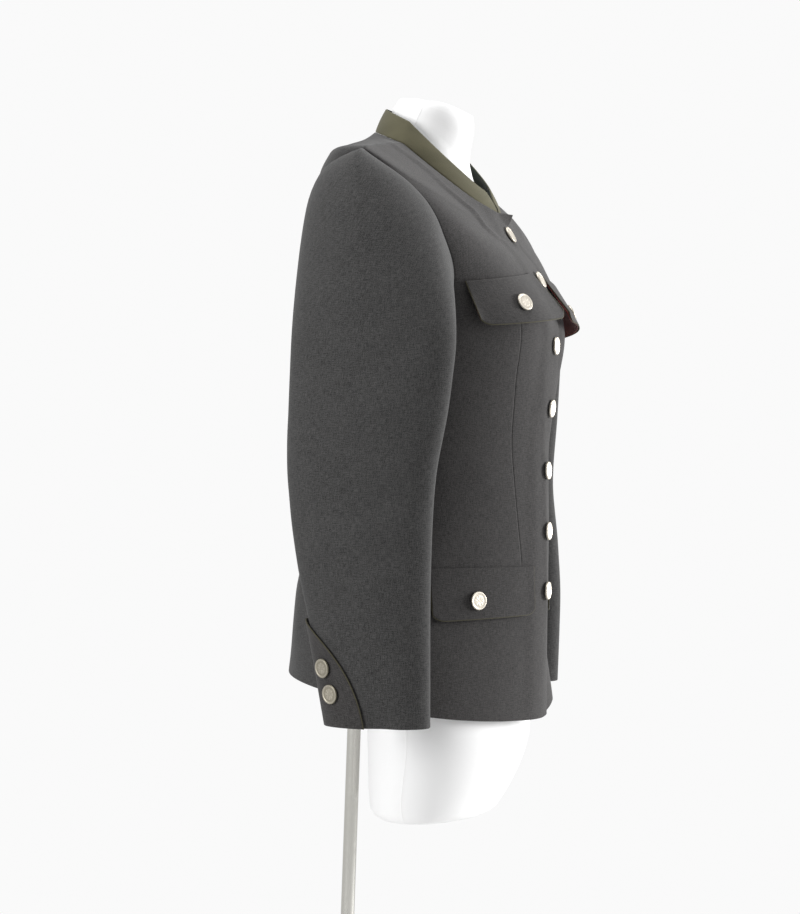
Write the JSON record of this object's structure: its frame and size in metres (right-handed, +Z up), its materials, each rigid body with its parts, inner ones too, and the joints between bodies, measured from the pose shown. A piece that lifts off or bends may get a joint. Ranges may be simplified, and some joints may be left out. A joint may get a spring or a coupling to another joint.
{
  "type": "trachten jacket on dress form",
  "caption": "Hip-length grey wool jacket with a stand collar, flapped pockets and curved cuff tabs, worn by a limbless dress form on a pole and a round base.",
  "frame": {"origin": "middle of the base plate's underside", "axes": "+Z up, the jacket's front faces -Y, the wearer's right side is -X"},
  "size_m": [0.5518, 0.3693, 1.456],
  "materials": {
    "wool": "charcoal melange wool flannel, matt",
    "olive_cloth": "olive wool felt, matt",
    "lining": "dark rust-red satin lining",
    "pewter": "old silver, lightly worn",
    "form_shell": "smooth matt white",
    "chrome": "polished"
  },
  "bodies": {
    "root": {"back_left": "wool", "back_right": "wool", "base": "chrome", "bracket": "chrome", "chest_button_left": "pewter", "chest_button_right": "pewter", "chest_flap_left": "wool", "chest_flap_lining_left": "lining", "chest_flap_lining_right": "lining", "chest_flap_right": "wool", "collar": "olive_cloth", "cuff_button_left_1": "pewter", "cuff_button_left_2": "pewter", "cuff_button_right_1": "pewter", "cuff_button_right_2": "pewter", "cuff_tab_left": "wool", "cuff_tab_right": "wool", "form": "form_shell", "front_button_1": "pewter", "front_button_2": "pewter", "front_button_3": "pewter", "front_button_4": "pewter", "front_button_5": "pewter", "front_button_6": "pewter", "front_button_7": "pewter", "front_left": "wool", "front_right": "wool", "hip_button_left": "pewter", "hip_button_right": "pewter", "hip_flap_left": "wool", "hip_flap_right": "wool", "pole": "chrome", "under_sleeve_left": "wool", "under_sleeve_right": "wool", "upper_sleeve_left": "wool", "upper_sleeve_right": "wool"}
  },
  "joints": []
}
